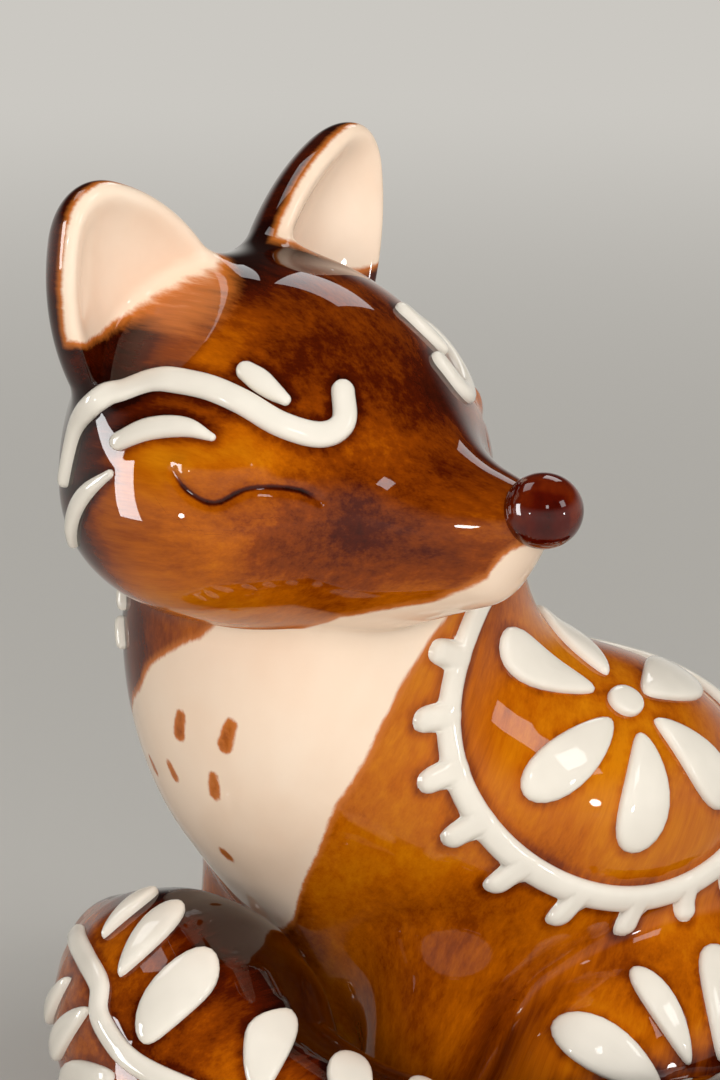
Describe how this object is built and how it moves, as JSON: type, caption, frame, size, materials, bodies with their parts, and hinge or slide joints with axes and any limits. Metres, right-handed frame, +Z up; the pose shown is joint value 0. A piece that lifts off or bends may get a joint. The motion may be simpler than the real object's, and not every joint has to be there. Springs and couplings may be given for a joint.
{
  "type": "fox figurine",
  "caption": "Hollow glazed ceramic figurine of a seated fox looking back over its shoulder, tail curled round its side, with white slip flowers and leaves in relief.",
  "frame": {"origin": "on the flat underside, in the middle plane of the body, between the shoulders and the hips", "axes": "+Z up, -Y towards the chest, +Y towards the rump, +X towards the fox's left flank; the head looks along +X"},
  "size_m": [0.0902, 0.1123, 0.1088],
  "materials": {
    "amber_glaze": "high gloss, brushed translucent amber over pale clay",
    "dark_glaze": "high gloss, dark brown",
    "white_slip": "gloss, white slip under clear glaze"
  },
  "bodies": {
    "root": {"body_shell": "amber_glaze", "head_shell": "amber_glaze", "ear_left": "amber_glaze", "ear_right": "amber_glaze", "nose": "dark_glaze", "tail": "amber_glaze", "foreleg_left": "amber_glaze", "foreleg_right": "amber_glaze", "haunch_left": "amber_glaze", "haunch_right": "amber_glaze", "flank_ring_left": "white_slip", "flank_ring_right": "white_slip", "flank_flower_left": "white_slip", "flank_flower_right": "white_slip", "haunch_fan_left": "white_slip", "haunch_fan_right": "white_slip", "brow_scroll_left": "white_slip", "brow_scroll_right": "white_slip", "brow_drop_left": "white_slip", "brow_drop_right": "white_slip", "lid_stroke_left": "white_slip", "lid_stroke_right": "white_slip", "cheek_stroke_left": "white_slip", "cheek_stroke_right": "white_slip", "nape_drops": "white_slip", "tail_stem": "white_slip", "tail_leaflets": "white_slip"}
  },
  "joints": []
}
